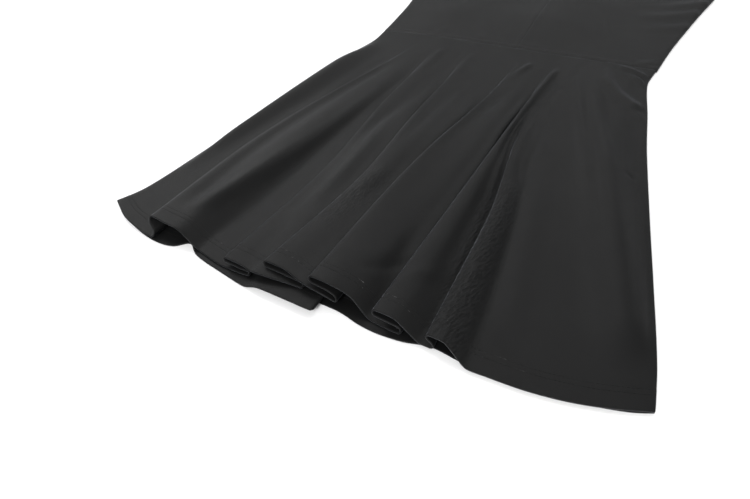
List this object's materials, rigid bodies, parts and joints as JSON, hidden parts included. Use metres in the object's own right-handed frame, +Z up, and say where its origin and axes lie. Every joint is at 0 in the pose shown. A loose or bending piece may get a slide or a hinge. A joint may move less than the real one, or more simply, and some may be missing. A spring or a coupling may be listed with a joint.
{
  "type": "halter mini dress",
  "caption": "Black knit halter mini dress laid flat, with a flared skirt in standing and pressed folds, a seamed bodice and straps that meet at the nape.",
  "frame": {"origin": "the middle of the whole dress, on the surface that it lies on", "axes": "+X to the right of the picture across the dress, +Y from the hem to the neck, +Z up from the surface through the front"},
  "size_m": [0.543, 0.8652, 0.0236],
  "materials": {
    "black_knit": "matte smooth knit"
  },
  "bodies": {
    "root": {"skirt_front": "black_knit", "skirt_back": "black_knit", "bodice_back": "black_knit", "bodice_front_left": "black_knit", "bodice_front_right": "black_knit", "neck_strap_left": "black_knit", "neck_strap_right": "black_knit"}
  },
  "joints": []
}
